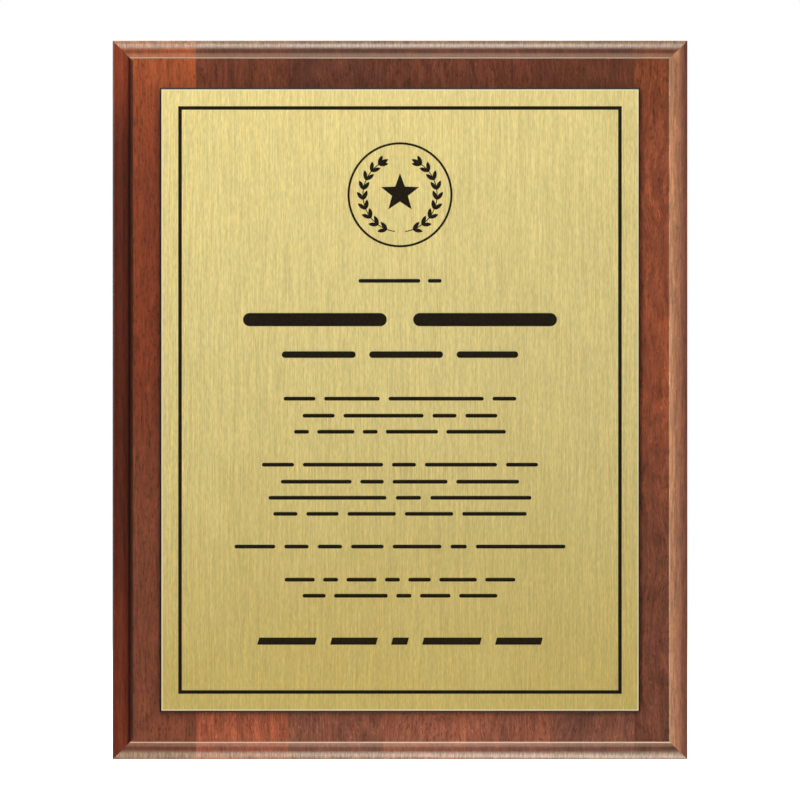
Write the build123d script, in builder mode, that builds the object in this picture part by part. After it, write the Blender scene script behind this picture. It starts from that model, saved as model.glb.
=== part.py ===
from build123d import *
import os
from math import cos, radians, sin

# Wooden award plaque: an edge-glued hardwood board with a routed moulding, a brushed-gold
# engraving-laminate plate taped to its face, and a keyhole hanger let into its back.
#
# Millimetres. +X is to the viewer's right, +Z is up, and the face looks along -Y.
# The origin is the centre of the back, which lies on the wall at y = 0.

# Board
BOARD_WIDTH = 304.8  # 12 in
BOARD_HEIGHT = 381.0  # 15 in
BOARD_THICKNESS = 19.05  # 3/4 in
GLUE_LINES = (-108.0, -59.0, -9.0, 35.0, 81.0, 124.0)
BACK_EASE = 1.0

# Moulding round the board: arris, step, cove and bead, from the face outwards
ARRIS_RADIUS = 0.7
STEP_DEPTH = 1.8
COVE_RADIUS = 3.5
BEAD_RADIUS = 5.9

# Plate: foam tape, black core and gold cap
PLATE_WIDTH = 254.0  # 10 in
PLATE_HEIGHT = 330.2  # 13 in
TAPE_THICKNESS = 0.8
TAPE_WIDTH = 19.0
TAPE_INSET = 6.0
TAPE_GAP = 2.0
CORE_THICKNESS = 1.4
CAP_THICKNESS = 0.1
PLATE_BEVEL = 0.6

# Engraved border line and emblem
BORDER_INSET = 9.75
BORDER_LINE = 1.9
EMBLEM_HEIGHT = 108.5
EMBLEM_RADIUS = 27.8
RING_LINE = 1.2
STAR_RADIUS = 10.6
STAR_WAIST = 4.4
STAR_RISE = 0.8
STEM_RADIUS = 19.6
STEM_LINE = 0.5
STEM_START = 8.0
STEM_TAIL = 4.0
LEAF_START = 20.0
LEAF_STEP = 15.5
LEAF_PAIRS = 9
LEAF_LENGTH = 5.4
LEAF_WIDTH = 2.1
LEAF_TILT = 30.0
LEAF_CURL = 6.0

# Engraved rows of plain bars. Each row has its height above the plate's centre, its width, the
# thickness of its bars, and the shares of that width that its bars take.
ROWS = (
    (63.0, 44.0, 2.0, (9, 2)),
    (42.5, 166.0, 7.0, (6, 6)),
    (24.0, 125.0, 3.5, (6, 6, 5)),
    (0.7, 123.0, 2.0, (4, 7, 12, 3)),
    (-8.3, 103.0, 2.0, (4, 10, 3, 4)),
    (-16.8, 112.0, 2.0, (2, 5, 2, 7, 8)),
    (-34.2, 146.0, 2.0, (4, 10, 3, 9, 4)),
    (-43.2, 126.0, 2.0, (9, 3, 7, 8)),
    (-51.7, 139.0, 2.0, (14, 3, 12)),
    (-60.2, 134.0, 2.0, (3, 4, 6, 6, 8)),
    (-77.5, 175.0, 2.0, (5, 3, 3, 4, 6, 2, 11)),
    (-95.0, 122.0, 2.0, (4, 2, 4, 2, 3, 5, 4)),
    (-103.5, 103.0, 2.0, (3, 7, 2, 4, 5)),
)
LAST_ROW = (-127.5, 151.0, 3.8, (5, 4, 1.5, 5, 4))
BAR_GAP = 1.1  # share of the width between two bars
LAST_ROW_SLANT = 75.0

# Keyhole hanger, let in flush near the top of the back
HANGER_Z = 150.0
HANGER_LENGTH = 45.0
HANGER_WIDTH = 16.0
HANGER_THICKNESS = 1.6
HANGER_CLEARANCE = 0.25
ENTRY_RADIUS = 4.75
ENTRY_DROP = 4.0
SEAT_RADIUS = 2.4
SEAT_RISE = 7.0
CAVITY_LENGTH = 22.0
CAVITY_WIDTH = 11.0
CAVITY_DEPTH = 8.0
CAVITY_RISE = 1.2
SCREW_SPACING = 35.0
SCREW_RADIUS = 1.5
SCREW_LENGTH = 12.0
SCREW_POINT = 2.5
SCREW_TIP_RADIUS = 0.2
SCREW_HEAD_RADIUS = 2.95
SCREW_SUNK = 0.1
SCREW_HOLE_RADIUS = 1.75
SINK_RADIUS = 3.1
SINK_ANGLE = 90.0
RECESS_LENGTH = 3.4
RECESS_WIDTH = 0.8
RECESS_DEPTH = 1.0

# Sizes that follow
BEAD_DEPTH = STEP_DEPTH + COVE_RADIUS
CAP_WIDTH = PLATE_WIDTH - 2 * PLATE_BEVEL
CAP_HEIGHT = PLATE_HEIGHT - 2 * PLATE_BEVEL
BORDER_WIDTH = PLATE_WIDTH - 2 * BORDER_INSET
BORDER_HEIGHT = PLATE_HEIGHT - 2 * BORDER_INSET

# Sections of the board: the first axis runs across or up it, the second out of its face
UPRIGHT = Plane((0, 0, 0), x_dir=(0, 0, 1), z_dir=(1, 0, 0))
LEVEL = Plane((0, 0, 0), x_dir=(1, 0, 0), z_dir=(0, 0, -1))
# Layers of the plate, seen from the front: the first axis is X, the second Z
BOARD_FACE = Plane.XZ.offset(BOARD_THICKNESS)
CORE_BACK = BOARD_FACE.offset(TAPE_THICKNESS)
CORE_FRONT = CORE_BACK.offset(CORE_THICKNESS)
# The hanger, seen from behind: the first axis is up, the third out of the back
HANGER_PLANE = Plane((0, 0, HANGER_Z), x_dir=(0, 0, 1), z_dir=(0, 1, 0))


# ---------------------------------------------------------------- board
def moulded_section(plane, half_span):
    """The board's section on plane, out to half_span each way, with its moulded edges."""
    crest = half_span - BEAD_RADIUS
    step = crest - COVE_RADIUS
    arris = step - ARRIS_RADIUS
    face = BOARD_THICKNESS
    bead_foot = face - BEAD_DEPTH - BEAD_RADIUS
    with BuildSketch(plane) as section:
        with BuildLine():
            Polyline(
                (arris, face),
                (0, face),
                (0, 0),
                (half_span - BACK_EASE, 0),
                (half_span, BACK_EASE),
                (half_span, bead_foot),
            )
            CenterArc((crest, bead_foot), BEAD_RADIUS, 0, 90)
            CenterArc((crest, face - STEP_DEPTH), COVE_RADIUS, 180, 90)
            Line((step, face - STEP_DEPTH), (step, face - ARRIS_RADIUS))
            CenterArc((arris, face - ARRIS_RADIUS), ARRIS_RADIUS, 0, 90)
        make_face()
        mirror(about=Plane.YZ)
    return section.sketch


with BuildPart() as board:
    # The two moulded prisms meet in mitres at the corners
    extrude(moulded_section(UPRIGHT, BOARD_HEIGHT / 2), amount=BOARD_WIDTH / 2, both=True)
    extrude(
        moulded_section(LEVEL, BOARD_WIDTH / 2),
        amount=BOARD_HEIGHT / 2,
        both=True,
        mode=Mode.INTERSECT,
    )
    # Pocket for the hanger, cavity behind its keyhole, and pilot holes
    with BuildSketch(HANGER_PLANE):
        SlotOverall(HANGER_LENGTH + 2 * HANGER_CLEARANCE, HANGER_WIDTH + 2 * HANGER_CLEARANCE)
    extrude(amount=-HANGER_THICKNESS, mode=Mode.SUBTRACT)
    with BuildSketch(HANGER_PLANE):
        with Locations((CAVITY_RISE, 0)):
            SlotOverall(CAVITY_LENGTH, CAVITY_WIDTH)
    extrude(amount=-CAVITY_DEPTH, mode=Mode.SUBTRACT)
    with BuildSketch(HANGER_PLANE):
        with GridLocations(SCREW_SPACING, 0, 2, 1):
            Circle(SCREW_RADIUS)
    extrude(amount=-(SCREW_SUNK + SCREW_LENGTH), mode=Mode.SUBTRACT)


def cut_stave(left, right):
    """The board between two glue lines, or out to its edge where there is none."""
    with BuildPart() as stave:
        add(board.part)
        if left is not None:
            split(bisect_by=Plane.YZ.offset(left), keep=Keep.TOP)
        if right is not None:
            split(bisect_by=Plane.YZ.offset(right), keep=Keep.BOTTOM)
    return stave.part


staves = [cut_stave(*sides) for sides in zip((None, *GLUE_LINES), (*GLUE_LINES, None))]
for number, stave in enumerate(staves, start=1):
    stave.label = f"stave_{number}"


# ---------------------------------------------------------------- foam tape
def lay_tape(name, x, z, width, height):
    """One strip of foam tape, centred at x, z on the board's face."""
    with BuildPart() as tape:
        with BuildSketch(BOARD_FACE):
            with Locations((x, z)):
                Rectangle(width, height)
        extrude(amount=TAPE_THICKNESS)
    tape.part.label = f"tape_{name}"
    return tape.part


side_x = PLATE_WIDTH / 2 - TAPE_INSET - TAPE_WIDTH / 2
end_z = PLATE_HEIGHT / 2 - TAPE_INSET - TAPE_WIDTH / 2
side_height = PLATE_HEIGHT - 2 * TAPE_INSET
level_width = 2 * side_x - TAPE_WIDTH - 2 * TAPE_GAP
tapes = [
    lay_tape("left", -side_x, 0, TAPE_WIDTH, side_height),
    lay_tape("right", side_x, 0, TAPE_WIDTH, side_height),
    lay_tape("top", 0, end_z, level_width, TAPE_WIDTH),
    lay_tape("middle", 0, 0, level_width, TAPE_WIDTH),
    lay_tape("bottom", 0, -end_z, level_width, TAPE_WIDTH),
]

# ---------------------------------------------------------------- plate
with BuildPart() as plate_core:
    with BuildSketch(CORE_BACK):
        Rectangle(PLATE_WIDTH, PLATE_HEIGHT)
    extrude(amount=CORE_THICKNESS)
    chamfer(plate_core.faces().sort_by(Axis.Y)[0].edges(), PLATE_BEVEL)
plate_core.part.label = "plate_core"

with BuildPart() as cap_margin:
    with BuildSketch(CORE_FRONT):
        Rectangle(CAP_WIDTH, CAP_HEIGHT)
        Rectangle(BORDER_WIDTH, BORDER_HEIGHT, mode=Mode.SUBTRACT)
    extrude(amount=CAP_THICKNESS)
cap_margin.part.label = "cap_margin"


def bars(width, shares):
    """The centre and the length of each bar of a row."""
    unit = width / (sum(shares) + BAR_GAP * (len(shares) - 1))
    start = -width / 2
    for share in shares:
        yield start + share * unit / 2, share * unit
        start += (share + BAR_GAP) * unit


with BuildPart() as cap_field:
    with BuildSketch(CORE_FRONT):
        Rectangle(BORDER_WIDTH - 2 * BORDER_LINE, BORDER_HEIGHT - 2 * BORDER_LINE)
        with Locations((0, EMBLEM_HEIGHT)):
            Circle(EMBLEM_RADIUS, mode=Mode.SUBTRACT)
        for height, width, thickness, shares in ROWS:
            for centre, length in bars(width, shares):
                with Locations((centre, height)):
                    SlotOverall(length, thickness, mode=Mode.SUBTRACT)
        height, width, thickness, shares = LAST_ROW
        for centre, length in bars(width, shares):
            with Locations((centre, height)):
                Trapezoid(
                    length, thickness, LAST_ROW_SLANT, 180 - LAST_ROW_SLANT, mode=Mode.SUBTRACT
                )
    extrude(amount=CAP_THICKNESS)
cap_field.part.label = "cap_field"


def from_emblem(radius, angle, start=(0, EMBLEM_HEIGHT)):
    """The point at radius and angle, in degrees, from the emblem's centre or from start."""
    return (start[0] + radius * cos(radians(angle)), start[1] + radius * sin(radians(angle)))


def engrave_leaf(base, angle):
    """Cut a pointed leaf that grows from base at angle out of the sketch being drawn."""
    tip = from_emblem(LEAF_LENGTH, angle, base)
    middle = from_emblem(LEAF_LENGTH / 2, angle, base)
    with BuildLine() as leaf:
        ThreePointArc(base, from_emblem(LEAF_WIDTH / 2, angle + 90, middle), tip)
        ThreePointArc(tip, from_emblem(LEAF_WIDTH / 2, angle - 90, middle), base)
    make_face(leaf.line, mode=Mode.SUBTRACT)


def engrave_branch(side):
    """Cut a laurel branch that rises from the bottom, to the right at side 1, left at -1."""
    last_pair = LEAF_START + LEAF_STEP * (LEAF_PAIRS - 1)
    stem_start = -90 + side * STEM_START
    stem_span = side * (last_pair + STEM_TAIL - STEM_START)
    with BuildLine() as stem:
        CenterArc((0, EMBLEM_HEIGHT), STEM_RADIUS, stem_start, stem_span)
    trace(stem.line, STEM_LINE, mode=Mode.SUBTRACT)
    for pair in range(LEAF_PAIRS):
        place = -90 + side * (LEAF_START + LEAF_STEP * pair)
        for tilt in (-LEAF_TILT, LEAF_TILT):
            engrave_leaf(from_emblem(STEM_RADIUS, place), place + side * (90 + tilt))
    # The last leaf carries the branch on past the stem's end
    place = -90 + side * (last_pair + STEM_TAIL / 2)
    engrave_leaf(from_emblem(STEM_RADIUS, place), place + side * (90 + LEAF_CURL))


with BuildPart() as cap_emblem:
    with BuildSketch(CORE_FRONT):
        with Locations((0, EMBLEM_HEIGHT)):
            Circle(EMBLEM_RADIUS - RING_LINE)
        star_centre = (0, EMBLEM_HEIGHT + STAR_RISE)
        star = [
            from_emblem((STAR_RADIUS, STAR_WAIST)[point % 2], 90 + 36 * point, star_centre)
            for point in range(10)
        ]
        Polygon(*star, align=None, mode=Mode.SUBTRACT)
        for side in (-1, 1):
            engrave_branch(side)
    extrude(amount=CAP_THICKNESS)
cap_emblem.part.label = "cap_emblem"

# ---------------------------------------------------------------- hanger
with BuildPart(HANGER_PLANE) as keyhole_hanger:
    with BuildSketch(HANGER_PLANE):
        SlotOverall(HANGER_LENGTH, HANGER_WIDTH)
        with Locations((-ENTRY_DROP, 0)):
            Circle(ENTRY_RADIUS, mode=Mode.SUBTRACT)
        with Locations(((SEAT_RISE - ENTRY_DROP) / 2, 0)):
            SlotCenterToCenter(SEAT_RISE + ENTRY_DROP, 2 * SEAT_RADIUS, mode=Mode.SUBTRACT)
    extrude(amount=-HANGER_THICKNESS)
    with GridLocations(SCREW_SPACING, 0, 2, 1):
        CounterSinkHole(SCREW_HOLE_RADIUS, SINK_RADIUS, counter_sink_angle=SINK_ANGLE)
keyhole_hanger.part.label = "keyhole_hanger"

upper_screw = HANGER_Z + SCREW_SPACING / 2
head_foot = SCREW_SUNK + SCREW_HEAD_RADIUS - SCREW_RADIUS  # the head runs in at 45 degrees
with BuildPart() as hanger_screws:
    # Half of the upper screw, drawn with its first axis up and its second into the wood
    with BuildSketch(Plane((0, 0, upper_screw), x_dir=(0, 0, 1), z_dir=(1, 0, 0))):
        Polygon(
            (0, SCREW_SUNK),
            (SCREW_HEAD_RADIUS, SCREW_SUNK),
            (SCREW_RADIUS, head_foot),
            (SCREW_RADIUS, SCREW_LENGTH - SCREW_POINT),
            (SCREW_TIP_RADIUS, SCREW_LENGTH),
            (0, SCREW_LENGTH),
            align=None,
        )
    revolve(axis=Axis((0, 0, upper_screw), (0, 1, 0)))
    with BuildSketch(HANGER_PLANE):
        with Locations((SCREW_SPACING / 2, 0)):
            Rectangle(RECESS_LENGTH, RECESS_WIDTH)
            Rectangle(RECESS_WIDTH, RECESS_LENGTH)
    extrude(amount=-(SCREW_SUNK + RECESS_DEPTH), mode=Mode.SUBTRACT)
    mirror(about=Plane.XY.offset(HANGER_Z))
hanger_screws.part.label = "hanger_screws"

# ---------------------------------------------------------------- files
os.makedirs("parts", exist_ok=True)
plate = [plate_core.part, cap_margin.part, cap_field.part, cap_emblem.part]
for piece in [*staves, *tapes, *plate, keyhole_hanger.part, hanger_screws.part]:
    export_step(piece, f"parts/{piece.label}.step")
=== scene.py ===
from dataclasses import dataclass
from math import radians

import bpy
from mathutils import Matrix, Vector


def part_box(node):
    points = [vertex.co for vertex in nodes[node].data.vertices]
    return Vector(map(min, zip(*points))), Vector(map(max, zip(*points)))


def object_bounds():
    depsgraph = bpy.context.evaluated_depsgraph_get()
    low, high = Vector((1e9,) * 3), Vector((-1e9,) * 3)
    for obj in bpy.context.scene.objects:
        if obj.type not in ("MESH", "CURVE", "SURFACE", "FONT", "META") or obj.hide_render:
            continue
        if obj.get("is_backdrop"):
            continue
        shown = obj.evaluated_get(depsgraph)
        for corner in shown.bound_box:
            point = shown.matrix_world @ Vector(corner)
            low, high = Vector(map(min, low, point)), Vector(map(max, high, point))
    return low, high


# Looks for the award plaque: materials for every CAD node, a pale floor, soft lights and the camera.
# Metres. +X is to the viewer's right, +Z is up, and the plaque's face looks along -Y.

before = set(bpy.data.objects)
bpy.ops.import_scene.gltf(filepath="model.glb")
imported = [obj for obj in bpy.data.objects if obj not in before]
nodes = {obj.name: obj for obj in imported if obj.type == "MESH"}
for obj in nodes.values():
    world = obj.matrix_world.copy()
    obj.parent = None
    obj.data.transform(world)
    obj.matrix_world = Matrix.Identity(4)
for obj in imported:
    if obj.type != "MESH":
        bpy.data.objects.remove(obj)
low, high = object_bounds()
scene = bpy.context.scene

MM = 0.001

# Places read from the frame
HALF_WIDTH = high[0]
HALF_HEIGHT = high[2]
FLOOR_LEVEL = low[2]
FACE_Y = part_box("stave_4")[0].y
BACK_Y = high[1]
PLATE_LOW, PLATE_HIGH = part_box("plate_core")

# The moulding, measured outwards from the edge of the flat face
MOULDING_WIDTH = 10.1 * MM
STEP_END = 1.2 * MM
COVE_END = 4.2 * MM
BEAD_SHOULDER = 8.5 * MM


# ---------------------------------------------------------------- node helpers
class Material:
    """A procedural material with one Principled shader. Its textures use object coordinates in metres."""

    def __init__(self, name):
        self.material = bpy.data.materials.new(name)
        self.material.use_nodes = True
        self.tree = self.material.node_tree
        self.tree.nodes.clear()
        self.shader = self.tree.nodes.new("ShaderNodeBsdfPrincipled")
        output = self.tree.nodes.new("ShaderNodeOutputMaterial")
        self.tree.links.new(self.shader.outputs["BSDF"], output.inputs["Surface"])
        self.place = self.tree.nodes.new("ShaderNodeTexCoord").outputs["Object"]

    def feed(self, socket, value):
        """Sets a socket to a number or a colour, or links another node's output to it."""
        if isinstance(value, bpy.types.NodeSocket):
            self.tree.links.new(value, socket)
        elif isinstance(value, (tuple, list)) and len(value) == 3 and socket.type == "RGBA":
            socket.default_value = (*value, 1.0)
        else:
            socket.default_value = value

    def set(self, **values):
        """Feeds the shader's own sockets, whose names have an underscore for each space."""
        for name, value in values.items():
            self.feed(self.shader.inputs[name.replace("_", " ")], value)

    def put_on(self, *names):
        for name in names:
            piece = nodes[name]
            piece.data.materials.clear()
            piece.data.materials.append(self.material)

    # Numbers
    def math(self, operation, a, b=0.0):
        node = self.tree.nodes.new("ShaderNodeMath")
        node.operation = operation
        self.feed(node.inputs[0], a)
        self.feed(node.inputs[1], b)
        return node.outputs[0]

    def product(self, *values):
        """All the numbers multiplied together."""
        total = values[0]
        for value in values[1:]:
            total = self.math("MULTIPLY", total, value)
        return total

    def outside(self, coordinate, half_size):
        """How far a coordinate lies outside -half_size to half_size, negative inside."""
        return self.math("SUBTRACT", self.math("ABSOLUTE", coordinate), half_size)

    def ramp(self, value, start, end, to_low=0.0, to_high=1.0):
        """value between start and end, turned smoothly into a number from to_low to to_high."""
        node = self.tree.nodes.new("ShaderNodeMapRange")
        node.interpolation_type = "SMOOTHSTEP"
        self.feed(node.inputs["Value"], value)
        self.feed(node.inputs["From Min"], start)
        self.feed(node.inputs["From Max"], end)
        self.feed(node.inputs["To Min"], to_low)
        self.feed(node.inputs["To Max"], to_high)
        return node.outputs["Result"]

    def band(self, value, start, full, fade, end):
        """1 where value lies between full and fade, and 0 below start and above end."""
        return self.product(self.ramp(value, start, full), self.ramp(value, fade, end, 1.0, 0.0))

    def switch(self, mask, off, on):
        """A number that goes from off to on as the mask goes from 0 to 1."""
        return self.ramp(mask, 0.0, 1.0, off, on)

    # Colours
    def mix(self, share, a, b, blend="MIX"):
        node = self.tree.nodes.new("ShaderNodeMix")
        node.data_type = "RGBA"
        node.blend_type = blend
        self.feed(node.inputs["Factor"], share)
        self.feed(node.inputs["A"], a)
        self.feed(node.inputs["B"], b)
        return node.outputs["Result"]

    def scale_colour(self, colour, factor):
        """The colour times a number."""
        node = self.tree.nodes.new("ShaderNodeVectorMath")
        node.operation = "SCALE"
        self.feed(node.inputs[0], colour)
        self.feed(node.inputs["Scale"], factor)
        return node.outputs[0]

    def vary(self, colour, change):
        """The colour with a share of itself added, or taken away where the change is negative."""
        return self.scale_colour(colour, self.math("ADD", 1.0, change))

    def darken(self, colour, share):
        """The colour with a share of itself taken away."""
        return self.scale_colour(colour, self.math("SUBTRACT", 1.0, share))

    # Places and textures
    def axis(self, vector, letter):
        node = self.tree.nodes.new("ShaderNodeSeparateXYZ")
        self.feed(node.inputs[0], vector)
        return node.outputs[letter]

    def sideways(self, distance):
        """The vector that moves a place along X."""
        node = self.tree.nodes.new("ShaderNodeCombineXYZ")
        self.feed(node.inputs["X"], distance)
        return node.outputs[0]

    def surface_normal(self):
        return self.tree.nodes.new("ShaderNodeNewGeometry").outputs["Normal"]

    def noise(self, grain, detail=2.0, roughness=0.5, offset=(0.0, 0.0, 0.0), bend=None):
        """Noise with marks of about grain = (x, y, z) metres. bend is a vector to add to the place."""
        place = self.place
        if bend is not None:
            add = self.tree.nodes.new("ShaderNodeVectorMath")
            self.feed(add.inputs[0], place)
            self.feed(add.inputs[1], bend)
            place = add.outputs[0]
        mapping = self.tree.nodes.new("ShaderNodeMapping")
        self.feed(mapping.inputs["Vector"], place)
        mapping.inputs["Location"].default_value = offset
        mapping.inputs["Scale"].default_value = [1.0 / size for size in grain]
        node = self.tree.nodes.new("ShaderNodeTexNoise")
        self.feed(node.inputs["Vector"], mapping.outputs[0])
        node.inputs["Scale"].default_value = 1.0
        node.inputs["Detail"].default_value = detail
        node.inputs["Roughness"].default_value = roughness
        return node.outputs["Fac"]

    def bump(self, height, depth, strength):
        """Relief of the given depth in metres where height goes from 0 to 1."""
        node = self.tree.nodes.new("ShaderNodeBump")
        node.inputs["Strength"].default_value = strength
        node.inputs["Distance"].default_value = depth
        self.feed(node.inputs["Height"], height)
        self.feed(self.shader.inputs["Normal"], node.outputs["Normal"])


# ---------------------------------------------------------------- wood
@dataclass
class Rim:
    """The moulding along an outer stave: its colour at the cove and at the outer edge, with painted shade
    in the left cove and painted light in the right cove, how much brighter it is at its head and foot, how
    much of the painted arris highlight it shows, and how much painted shade it puts on the face beside it."""

    at_cove: tuple
    at_edge: tuple
    head_gain: float = 1.0
    foot_gain: float = 1.0
    arris_highlight_shown: float = 1.0
    shade_beside: float = 0.0


@dataclass
class Stave:
    """One stave of the board: its colours at the foot, in the middle and at the top, the strength of its
    bands and mottling, what is added to its roughness, and its moulding if it is an outer one."""

    foot: tuple
    middle: tuple
    top: tuple
    figure: float = 1.0
    gloss_loss: float = 0.0
    rim: Rim = None


# Painted shade: the dark cove under the face's step, and the step's shadow on the face beside it.
LEFT_RIM = Rim(
    at_cove=(0.078, 0.014, 0.004),
    at_edge=(0.108, 0.019, 0.006),
    head_gain=2.3,
    foot_gain=1.9,
    arris_highlight_shown=0.0,
    shade_beside=0.74,
)
# Painted light: the pale cove lit from the right, darker towards the outer edge.
RIGHT_RIM = Rim(at_cove=(0.585, 0.285, 0.145), at_edge=(0.215, 0.072, 0.036), head_gain=0.80)

# From left to right, each with its colours from the foot to the top
STAVES = (
    Stave((0.176, 0.049, 0.021), (0.176, 0.036, 0.012), (0.290, 0.063, 0.016), 0.6, 0.12, LEFT_RIM),
    Stave((0.330, 0.087, 0.039), (0.124, 0.033, 0.015), (0.117, 0.032, 0.014), gloss_loss=0.05),
    Stave((0.214, 0.073, 0.041), (0.096, 0.030, 0.015), (0.092, 0.030, 0.016), figure=1.2),
    Stave((0.297, 0.094, 0.049), (0.120, 0.037, 0.019), (0.114, 0.034, 0.017), figure=1.2),
    Stave((0.260, 0.084, 0.046), (0.120, 0.037, 0.019), (0.109, 0.032, 0.016), figure=1.1),
    Stave((0.196, 0.069, 0.040), (0.096, 0.030, 0.015), (0.105, 0.030, 0.013), gloss_loss=0.04),
    Stave((0.141, 0.045, 0.023), (0.235, 0.060, 0.024), (0.145, 0.036, 0.011), 1.5, 0.08, RIGHT_RIM),
)

# What the darkest and the palest bands of the figure multiply a stave's colour by
DARK_BAND = (0.74, 0.78, 0.84)
LIGHT_BAND = (1.30, 1.22, 1.14)

# Colours that every stave shares
END_GRAIN = (0.230, 0.150, 0.076)
# The colour of the painted highlight along the arris
ARRIS_HIGHLIGHT_COLOUR = (0.50, 0.31, 0.20)

# The share of the colour that each mark adds or takes away
MOTTLING = 0.13
FIBRE_CONTRAST = 0.34
PORE_DEPTH = 0.42
FLECK_GAIN = 0.55
CROSS_STAIN = 0.28
# Painted shade in the corner under the arris, across the grain
CORNER_SHADE = 0.30
# Painted shadow on the face just under the plate
PLATE_SHADOW = 0.32
ARRIS_SHADE = 0.40

# How much of the figure and the marks is left on the moulding
CALM_FIGURE = 0.55
CALM_MARKS = 0.45


class Zones:
    """Where a point of the board lies: its coordinates, how far it is outside the flat face, and masks from
    0 to 1 for the back, the moulding and the moulding's parts."""

    def __init__(self, m):
        self.x, y, self.z = (m.axis(m.place, letter) for letter in "XYZ")
        on_back = m.ramp(y, BACK_Y - 2.2 * MM, BACK_Y - 0.7 * MM)
        self.on_front = m.math("SUBTRACT", 1.0, on_back)

        # The back has no moulding, so it counts as inside
        inwards = m.product(on_back, 2 * MOULDING_WIDTH)
        self.beyond_x = m.math("SUBTRACT", m.outside(self.x, HALF_WIDTH - MOULDING_WIDTH), inwards)
        self.beyond_z = m.math("SUBTRACT", m.outside(self.z, HALF_HEIGHT - MOULDING_WIDTH), inwards)
        self.beyond = m.math("MAXIMUM", self.beyond_x, self.beyond_z)

        # The side mouldings follow the grain, and the upper and lower ones cross it
        self.on_moulding = m.ramp(self.beyond, 0.4 * MM, STEP_END)
        self.along_grain = m.math("GREATER_THAN", self.beyond_x, m.math("MAXIMUM", self.beyond_z, 0.0))
        self.across_grain = m.product(self.on_moulding, m.math("SUBTRACT", 1.0, self.along_grain))
        self.corner = m.ramp(self.beyond, 0.8 * MM, 2.4 * MM, 1.0, 0.0)
        before_bead = m.ramp(self.beyond, COVE_END, COVE_END + 0.8 * MM, 1.0, 0.0)
        self.in_cove = m.product(self.on_moulding, before_bead)
        self.outward = m.ramp(self.beyond, COVE_END - 1.6 * MM, BEAD_SHOULDER)


def stave_tone(m, zones, stave, slow):
    """The colour along the stave, which changes little on the back, and along its moulding. slow is a noise
    that blurs where it changes."""
    height = m.math("ADD", m.product(zones.z, zones.on_front), m.product(slow, 50 * MM))
    colour = m.mix(m.ramp(height, -50 * MM, 50 * MM), stave.foot, stave.middle)
    colour = m.mix(m.ramp(height, 135 * MM, 215 * MM), colour, stave.top)
    rim = stave.rim
    if rim:
        # The moulding colour of an outer stave, with painted shade in the left cove and painted light in
        # the right cove.
        rim_tone_and_light = m.mix(m.ramp(zones.beyond, 0.6 * MM, BEAD_SHOULDER), rim.at_cove, rim.at_edge)
        rim_tone_and_light = m.scale_colour(rim_tone_and_light, m.ramp(zones.z, -180 * MM, -40 * MM, rim.foot_gain, 1.0))
        rim_tone_and_light = m.scale_colour(rim_tone_and_light, m.ramp(zones.z, 125 * MM, 180 * MM, 1.0, rim.head_gain))
        colour = m.mix(zones.along_grain, colour, rim_tone_and_light)
    return colour


def add_stain_and_shade(m, zones, stave, colour):
    """Stain that went deeper into the moulding across the grain, and painted shade: in the corner under the
    arris, beside the left moulding where the step's shadow falls, and a painted shadow just under the
    plate."""
    colour = m.darken(colour, m.product(zones.across_grain, CROSS_STAIN))
    # Painted shade in the corner under the arris
    colour = m.darken(colour, m.product(zones.across_grain, zones.corner, CORNER_SHADE))
    if stave.rim:
        # Painted shadow of the step on the face beside the left moulding
        shade_beside_rim = m.product(
            m.ramp(zones.beyond_x, -1.3 * MM, -0.9 * MM),
            m.math("GREATER_THAN", zones.beyond_x, zones.beyond_z),
        )
        colour = m.darken(colour, m.product(shade_beside_rim, zones.corner, stave.rim.shade_beside))
    # Painted shadow on the face just under the plate
    below_plate = m.band(m.math("SUBTRACT", PLATE_LOW.z, zones.z), -1.0 * MM, 0.0, 0.0, 3.0 * MM)
    in_its_width = m.math("LESS_THAN", m.outside(zones.x, PLATE_HIGH.x), 0.0)
    return m.darken(colour, m.product(below_plate, in_its_width, zones.on_front, PLATE_SHADOW))


def add_end_grain(m, zones, seed, colour):
    """Paler end grain on the slopes that look up or down: short bristles, darkest at the outer edge."""
    slope = m.ramp(m.math("ABSOLUTE", m.axis(m.surface_normal(), "Z")), 0.10, 0.45)
    colour = m.mix(m.product(slope, m.switch(zones.in_cove, 0.55, 0.25)), colour, END_GRAIN)
    bristle = m.noise((0.6 * MM, 6 * MM, 6 * MM), 2.0, 0.6, offset=(seed, 2.0, 0))
    contrast = m.product(slope, m.switch(zones.outward, 0.20, 0.90))
    return m.vary(colour, m.product(m.ramp(bristle, 0.3, 0.7, -0.58, 0.42), contrast))


def paint_arris_highlight(m, zones, stave, colour):
    """A painted highlight on the arris, stronger towards the foot, and painted shade just inside it across
    the grain.
    """
    from_face = m.math("ADD", zones.beyond, m.product(zones.along_grain, 0.3 * MM))
    # Painted highlight along the arris, stronger towards the foot
    highlight_share = m.product(
        m.band(from_face, 0.50 * MM, 0.65 * MM, 1.0 * MM, 1.2 * MM),
        m.ramp(zones.z, -150 * MM, 170 * MM, 0.70, 0.30),
    )
    if stave.rim:
        highlight_share = m.product(highlight_share, m.switch(zones.along_grain, 1.0, stave.rim.arris_highlight_shown))
    colour = m.mix(highlight_share, colour, ARRIS_HIGHLIGHT_COLOUR)
    inside = m.band(zones.beyond, -0.15 * MM, 0.05 * MM, 0.45 * MM, 0.6 * MM)
    return m.darken(colour, m.product(inside, m.switch(zones.along_grain, ARRIS_SHADE, 0.0)))


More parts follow.
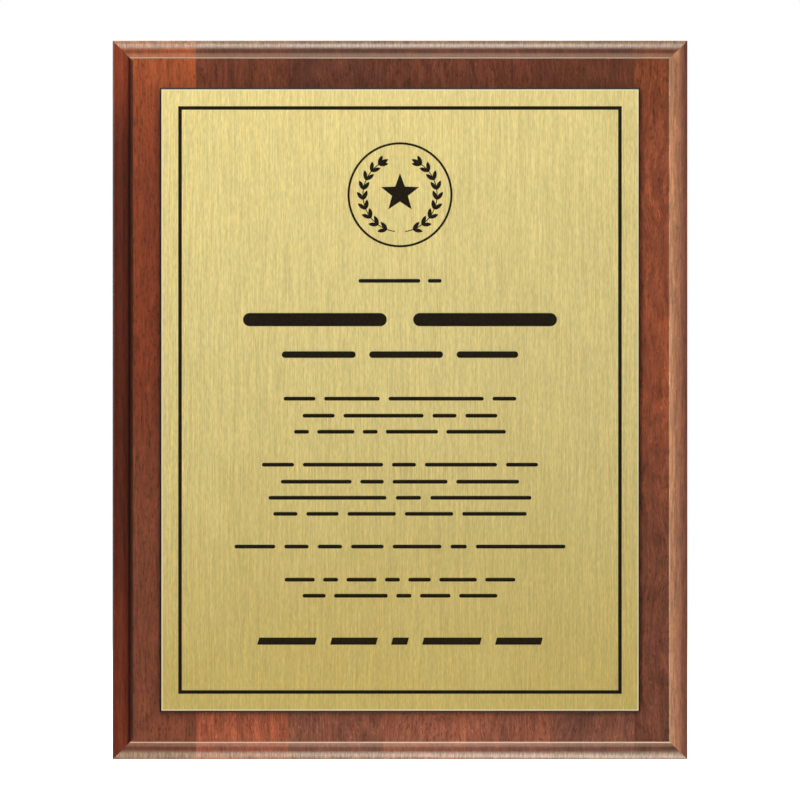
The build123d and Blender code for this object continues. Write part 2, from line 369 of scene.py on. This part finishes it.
def wood(number, stave):
    """The lacquered hardwood of one stave: its tone, bands, mottling, fibres along Z, pores and flecks,
    then the stain and painted shade, the end grain of its moulding, and the painted arris highlight."""
    m = Material(f"hardwood_{number}")
    zones = Zones(m)
    seed = 3.7 * number

    # The fibres wander, so the place is bent sideways by a slow noise, less on the moulding along them
    wander = m.noise((30 * MM, 30 * MM, 70 * MM), offset=(seed, 0, seed))
    reach = m.switch(zones.along_grain, 16 * MM * stave.figure, 4 * MM)
    bend = m.sideways(m.product(m.math("SUBTRACT", wander, 0.5), reach))

    # From the slowest tone to the finest mark
    slow = m.noise((30 * MM, 35 * MM, 150 * MM), offset=(seed, seed, 0), bend=bend)
    ribbon = m.noise((4.5 * MM, 9 * MM, 70 * MM), 3.0, 0.65, offset=(0, seed, seed), bend=bend)
    mottle = m.noise((5 * MM, 9 * MM, 11 * MM), offset=(seed, 9.0, 0), bend=bend)
    fibre = m.noise((0.9 * MM, 1.2 * MM, 12 * MM), 3.0, 0.7, offset=(seed, 0, 0), bend=bend)
    pore = m.noise((0.65 * MM, 0.9 * MM, 2.8 * MM), 1.0, offset=(0, seed, 0), bend=bend)
    fleck = m.noise((0.7 * MM, 0.9 * MM, 2.6 * MM), 1.0, offset=(seed, 0, 5.0))

    # The figure: light and dark bands, broad ones and stronger narrow ones, and mottling
    colour = stave_tone(m, zones, stave, slow)
    swing = min(1.0, stave.figure)
    bands = m.math("ADD", m.ramp(slow, 0.3, 0.7, -0.175, 0.175), m.ramp(ribbon, 0.3, 0.7, -0.325, 0.325))
    bands = m.product(bands, m.switch(zones.along_grain, swing, CALM_FIGURE * swing))
    colour = m.mix(1.0, colour, m.mix(m.math("ADD", bands, 0.5), DARK_BAND, LIGHT_BAND), "MULTIPLY")
    calm = m.switch(zones.on_moulding, 1.0, CALM_MARKS)
    colour = m.vary(colour, m.product(m.ramp(mottle, 0.3, 0.7, -MOTTLING, MOTTLING), stave.figure, calm))

    # Fibres, dark pores and bright flecks
    colour = m.scale_colour(colour, m.ramp(fibre, 0.25, 0.75, 1 - FIBRE_CONTRAST, 1 + FIBRE_CONTRAST))
    pores = m.product(m.ramp(pore, 0.54, 0.70), calm)
    flecks = m.product(m.ramp(fleck, 0.60, 0.76), calm)
    colour = m.darken(colour, m.product(pores, PORE_DEPTH))
    colour = m.vary(colour, m.product(flecks, FLECK_GAIN * swing))

    colour = add_stain_and_shade(m, zones, stave, colour)
    colour = add_end_grain(m, zones, seed, colour)
    colour = paint_arris_highlight(m, zones, stave, colour)

    # The lacquer is duller in the cove and on the moulding that follows the grain
    roughness = m.ramp(fibre, 0.2, 0.8, 0.33 + stave.gloss_loss, 0.43 + stave.gloss_loss)
    roughness = m.math("ADD", roughness, m.product(zones.in_cove, 0.38))
    roughness = m.math("ADD", roughness, m.product(zones.along_grain, 0.16))
    m.set(Base_Color=colour, Roughness=roughness, IOR=1.5)
    m.bump(m.math("SUBTRACT", m.product(fibre, 0.4), pores), 0.03 * MM, 0.35)
    return m


def dress_board():
    for number, stave in enumerate(STAVES, start=1):
        wood(number, stave).put_on(f"stave_{number}")


# ---------------------------------------------------------------- plate
# Painted light: the gold paler at the top than at the foot
SHADED_FOOT_GOLD = (0.612, 0.456, 0.121)
LIT_TOP_GOLD = (0.845, 0.695, 0.276)
# Painted highlight colour for the cap's edge
EDGE_HIGHLIGHT_GOLD = (0.90, 0.78, 0.56)
# Painted shade colour for the dark line at the cap's rim
EDGE_SHADE_DARK = (0.05, 0.03, 0.01)


def brushed_gold():
    """The laminate's gold cap: fine upright brush lines, long and short, a satin sheen, painted light that
    is brighter at the top and left, a painted edge highlight, and a painted dark line of shade at its rim."""
    m = Material("brushed_gold_cap")
    x, z = m.axis(m.place, "X"), m.axis(m.place, "Z")
    fine = m.noise((0.45 * MM, 5 * MM, 26 * MM), 2.0, 0.6)
    short = m.noise((0.45 * MM, 5 * MM, 3.5 * MM), 2.0, 0.6, offset=(0, 0, 9.0))
    broad = m.noise((1.9 * MM, 5 * MM, 30 * MM), offset=(7.0, 0, 0))
    slow = m.noise((60 * MM, 60 * MM, 120 * MM), 1.0, offset=(2.0, 0, 4.0))
    height = m.math("ADD", z, m.product(m.math("SUBTRACT", slow, 0.5), 80 * MM))
    # Painted light: brighter towards the top, darker towards the foot
    colour = m.mix(m.ramp(height, -240 * MM, 60 * MM), SHADED_FOOT_GOLD, LIT_TOP_GOLD)
    for lines, contrast in ((fine, 0.11), (short, 0.11), (broad, 0.03)):
        colour = m.scale_colour(colour, m.ramp(lines, 0.25, 0.75, 1 - contrast, 1 + contrast))
    # Painted light: a little brighter towards the left
    colour = m.scale_colour(colour, m.ramp(x, PLATE_LOW.x, PLATE_HIGH.x, 1.05, 0.985))
    past_edge = m.math("MAXIMUM", m.outside(x, PLATE_HIGH.x), m.outside(z, PLATE_HIGH.z))
    # Painted highlight along the cap's edge
    edge_highlight = m.ramp(past_edge, -1.8 * MM, -1.3 * MM)
    colour = m.mix(m.product(edge_highlight, 0.75), colour, EDGE_HIGHLIGHT_GOLD)
    # Painted shade: a dark line at the cap's rim
    edge_shade = m.ramp(past_edge, -0.95 * MM, -0.80 * MM)
    colour = m.mix(m.product(edge_shade, 0.9), colour, EDGE_SHADE_DARK)
    m.set(Base_Color=colour, Metallic=0.35, Roughness=m.ramp(fine, 0.2, 0.8, 0.38, 0.52))
    m.bump(fine, 0.01 * MM, 0.3)
    return m


def black_core():
    """The laminate's core: brownish black, matte where the laser has opened the cap."""
    m = Material("black_core")
    grain = m.noise((0.5 * MM, 0.5 * MM, 0.9 * MM), 3.0, 0.6)
    m.set(
        Base_Color=m.mix(m.ramp(grain, 0.3, 0.7), (0.008, 0.006, 0.003), (0.018, 0.013, 0.007)),
        Roughness=m.ramp(grain, 0.3, 0.7, 0.45, 0.62),
        Specular_IOR_Level=0.08,
    )
    m.bump(grain, 0.02 * MM, 0.4)
    return m


def foam_tape():
    """Double-sided foam tape: off-white, open cells."""
    m = Material("foam_tape")
    cell = m.noise((0.5 * MM, 0.5 * MM, 0.5 * MM))
    m.set(
        Base_Color=m.mix(m.ramp(cell, 0.35, 0.65), (0.42, 0.42, 0.40), (0.72, 0.72, 0.70)),
        Roughness=0.9,
    )
    m.bump(cell, 0.1 * MM, 0.6)
    return m


# ---------------------------------------------------------------- hanger
def plated_steel(name, tint, roughness):
    """Dull zinc-plated steel: rolled lines and cloudy plating."""
    m = Material(name)
    rolled = m.noise((5 * MM, 2 * MM, 0.25 * MM), 2.0, 0.6)
    cloud = m.noise((4 * MM, 4 * MM, 4 * MM), 3.0, 0.6, offset=(1.0, 0, 3.0))
    m.set(
        Base_Color=m.scale_colour(tint, m.ramp(cloud, 0.3, 0.7, 0.80, 1.08)),
        Metallic=0.7,
        Roughness=m.ramp(cloud, 0.3, 0.7, roughness + 0.10, roughness - 0.06),
    )
    m.bump(rolled, 0.02 * MM, 0.4)
    return m


# ---------------------------------------------------------------- floor, lights and camera
def lay_floor(size=12.0):
    """A plain pale floor that the plaque stands on. It sends no light of its own to the plaque."""
    bpy.ops.mesh.primitive_plane_add(size=size, location=(0, 0, FLOOR_LEVEL))
    floor = bpy.context.object
    floor.name = "floor"
    material = bpy.data.materials.new("floor_white")
    material.use_nodes = True
    shader = material.node_tree.nodes["Principled BSDF"]
    shader.inputs["Base Color"].default_value = (0.55, 0.55, 0.55, 1)
    shader.inputs["Roughness"].default_value = 0.9
    shader.inputs["Emission Color"].default_value = (1, 1, 1, 1)
    shader.inputs["Emission Strength"].default_value = 1.0
    floor.data.materials.append(material)
    floor.visible_diffuse = False
    floor.visible_glossy = False
    floor.visible_shadow = False
    floor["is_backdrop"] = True


def softbox(name, place, aim, width, height, power, glossy=True, diffuse=True):
    """A rectangular area light at place that faces aim. Without glossy it makes no highlight, and without
    diffuse it makes only highlights."""
    data = bpy.data.lights.new(name, "AREA")
    data.shape = "RECTANGLE"
    data.size = width
    data.size_y = height
    data.energy = power
    light = bpy.data.objects.new(name, data)
    scene.collection.objects.link(light)
    light.location = place
    light.rotation_euler = (Vector(aim) - Vector(place)).to_track_quat("-Z", "Y").to_euler()
    light.visible_camera = False
    light.visible_glossy = glossy
    light.visible_diffuse = diffuse


def set_world(seen, fill):
    """White behind everything, and a dimmer even fill for what the surfaces receive."""
    world = bpy.data.worlds.new("studio")
    scene.world = world
    world.use_nodes = True
    tree = world.node_tree
    background = tree.nodes["Background"]
    background.inputs["Color"].default_value = (1, 1, 1, 1)
    path = tree.nodes.new("ShaderNodeLightPath")
    strength = tree.nodes.new("ShaderNodeMapRange")
    strength.inputs["To Min"].default_value = fill
    strength.inputs["To Max"].default_value = seen
    tree.links.new(path.outputs["Is Camera Ray"], strength.inputs["Value"])
    tree.links.new(strength.outputs["Result"], background.inputs["Strength"])


def light_studio():
    """Light from above, below and the right, a softer one from the front left, and one for the back.
    light_bead only puts the highlight on the lower moulding's bead."""
    face = (0, FACE_Y, 0)
    foot = (0, FACE_Y, -HALF_HEIGHT)
    softbox("light_top", (0.0, -0.26, 0.72), face, 0.60, 0.40, 7.9)
    softbox("light_below", (0.08, -0.17, -0.82), face, 0.50, 0.80, 10.6, glossy=False)
    softbox("light_bead", (0.06, -0.075, -0.50), foot, 0.60, 0.24, 2.7, diffuse=False)
    softbox("light_right", (1.50, -0.30, 0.20), face, 1.0, 1.2, 13.0, glossy=False)
    softbox("light_front", (-0.95, -1.10, 0.35), face, 0.8, 0.8, 11.4, glossy=False)
    softbox("light_behind", (-0.9, 1.5, 0.7), (0, 0, 0), 1.4, 1.4, 30.0)
    set_world(seen=1.0, fill=0.015)


def place_camera(distance, seen_width):
    """Straight in front of the face, with seen_width of its plane across the picture."""
    data = bpy.data.cameras.new("camera")
    data.sensor_width = 36.0
    data.lens = data.sensor_width * distance / seen_width
    data.clip_end = 50.0
    camera = bpy.data.objects.new("camera", data)
    scene.collection.objects.link(camera)
    camera.location = (0, FACE_Y - distance, 0)
    camera.rotation_euler = (radians(90), 0, 0)
    scene.camera = camera


dress_board()
brushed_gold().put_on("cap_margin", "cap_field", "cap_emblem")
black_core().put_on("plate_core")
foam_tape().put_on("tape_left", "tape_right", "tape_top", "tape_middle", "tape_bottom")
plated_steel("zinc_plate", (0.58, 0.59, 0.60), 0.34).put_on("keyhole_hanger")
plated_steel("zinc_screws", (0.50, 0.50, 0.49), 0.30).put_on("hanger_screws")
lay_floor()
light_studio()
place_camera(distance=4.6, seen_width=0.4232)
scene.view_settings.view_transform = "Standard"

low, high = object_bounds()
